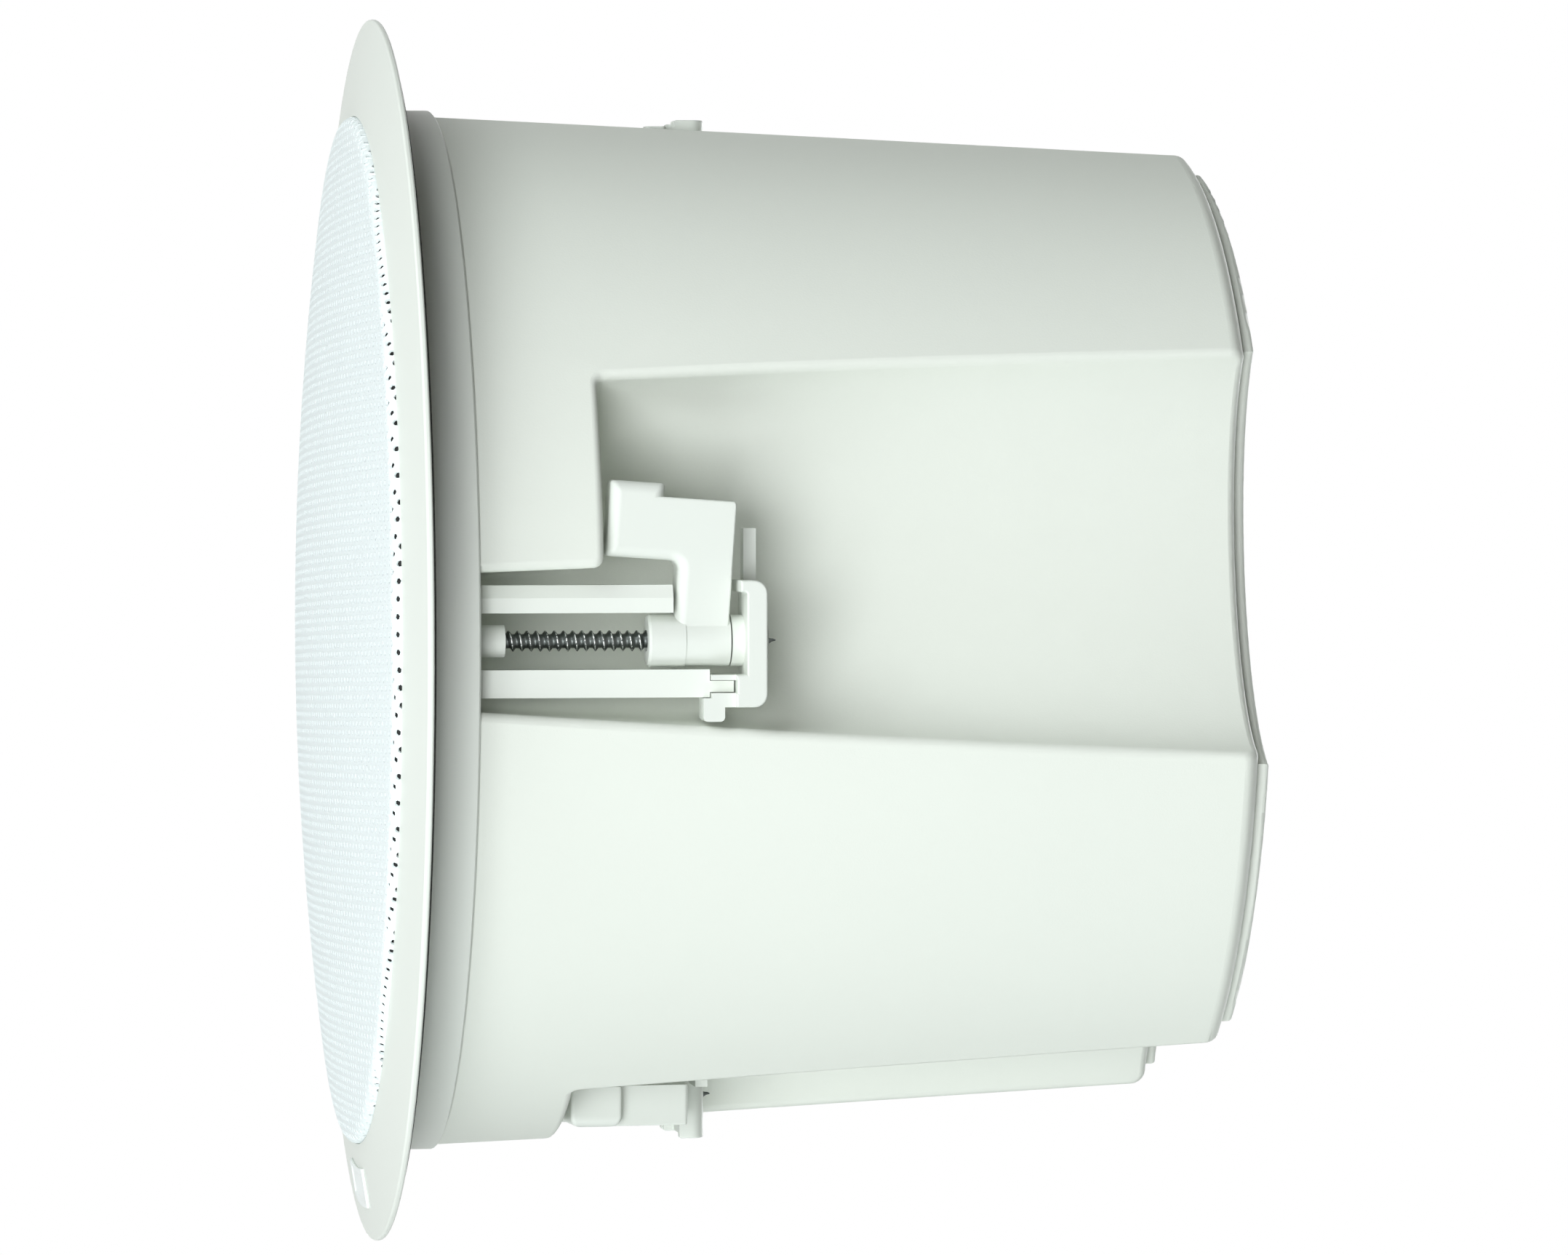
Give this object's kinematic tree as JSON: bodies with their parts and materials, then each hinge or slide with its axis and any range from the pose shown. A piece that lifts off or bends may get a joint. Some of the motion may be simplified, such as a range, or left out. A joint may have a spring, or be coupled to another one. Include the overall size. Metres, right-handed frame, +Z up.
{
  "type": "in-ceiling speaker",
  "caption": "Round in-ceiling loudspeaker with a white perforated grille, a flanged bezel, a closed back can with scooped pockets and swing-out clamps.",
  "frame": {"origin": "on the can's axis, in the plane of the ceiling's underside where the flange's seal meets it", "axes": "+Z up into the ceiling void along the can's axis, -Z out of the grille into the room, -Y towards the clamp that the picture shows in the middle"},
  "size_m": [0.25, 0.25, 0.1828],
  "materials": {
    "white_trim": "smooth satin moulding",
    "white_can": "fine moulded texture",
    "white_clamp": "smooth moulding",
    "white_grille": "powder coat",
    "badge": "satin",
    "grille_cloth": "fine black weave",
    "foam": "closed-cell foam",
    "black_steel": "blackened",
    "painted_basket": "satin",
    "black_rubber": "matt",
    "cone_polymer": "smooth",
    "alloy": "turned",
    "copper_wire": "enamelled",
    "spider_cloth": "resin-set weave",
    "zinc_steel": "zinc plated",
    "ferrite": "ground",
    "black_plastic": "fine texture",
    "dome_cloth": "coated",
    "board": "laminate",
    "ceramic": "cement",
    "cable": "smooth jacket",
    "fibre": "loose fibre"
  },
  "bodies": {
    "housing": {"front_bezel": "white_trim", "ceiling_seal": "foam", "grille": "white_grille", "grille_cloth": "grille_cloth", "blank_badge": "badge", "back_can": "white_can", "can_gasket": "foam", "can_screws": "black_steel", "basket": "painted_basket", "surround": "black_rubber", "spider": "spider_cloth", "top_plate": "zinc_steel", "magnet": "ferrite", "yoke": "zinc_steel", "driver_screws": "black_steel", "tweeter_post": "alloy", "post_nut": "zinc_steel", "tweeter_cup": "black_plastic", "tweeter_magnet": "ferrite", "tweeter_surround": "black_rubber", "tweeter_front": "black_plastic", "crossover_board": "board", "board_screws": "black_steel", "inductor": "copper_wire", "capacitors": "black_plastic", "resistor": "ceramic", "terminal_block": "black_plastic", "terminal_cover": "white_can", "cover_screws": "black_steel", "cable_bush": "black_rubber", "tag_strip": "board", "woofer_lead": "cable", "tweeter_lead": "cable", "damping_pad": "fibre", "clamp_cap_1": "white_clamp", "clamp_cap_2": "white_clamp", "clamp_cap_3": "white_clamp", "clamp_cap_4": "white_clamp"},
    "cone_assembly": {"cone": "cone_polymer", "coil_former": "alloy", "coil_winding": "copper_wire"},
    "dome_assembly": {"tweeter_dome": "dome_cloth"},
    "clamp_1": {"clamp_dog_1": "white_clamp", "clamp_screw_1": "black_steel"},
    "clamp_2": {"clamp_dog_2": "white_clamp", "clamp_screw_2": "black_steel"},
    "clamp_3": {"clamp_dog_3": "white_clamp", "clamp_screw_3": "black_steel"},
    "clamp_4": {"clamp_dog_4": "white_clamp", "clamp_screw_4": "black_steel"}
  },
  "joints": [
    {"name": "clamp_1_swing", "type": "hinge", "parent": "housing", "child": "clamp_1", "pos_m": [0, -0.0962, 0], "axis": [0, 0, 1], "range_deg": [0, 90]},
    {"name": "clamp_2_swing", "type": "hinge", "parent": "housing", "child": "clamp_2", "pos_m": [0.0962, 0, 0], "axis": [0, 0, 1], "range_deg": [0, 90]},
    {"name": "clamp_3_swing", "type": "hinge", "parent": "housing", "child": "clamp_3", "pos_m": [0, 0.0962, 0], "axis": [0, 0, 1], "range_deg": [0, 90]},
    {"name": "clamp_4_swing", "type": "hinge", "parent": "housing", "child": "clamp_4", "pos_m": [-0.0962, 0, 0], "axis": [0, 0, 1], "range_deg": [0, 90]},
    {"name": "cone_travel", "type": "slide", "parent": "housing", "child": "cone_assembly", "axis": [0, 0, 1], "range_m": [-0.004, 0.004], "stiffness_N_per_m": 1500, "deforming": ["surround", "spider"]},
    {"name": "dome_travel", "type": "slide", "parent": "housing", "child": "dome_assembly", "axis": [0, 0, 1], "range_m": [-0.0003, 0.0003], "stiffness_N_per_m": 3000, "deforming": ["tweeter_surround"]}
  ]
}
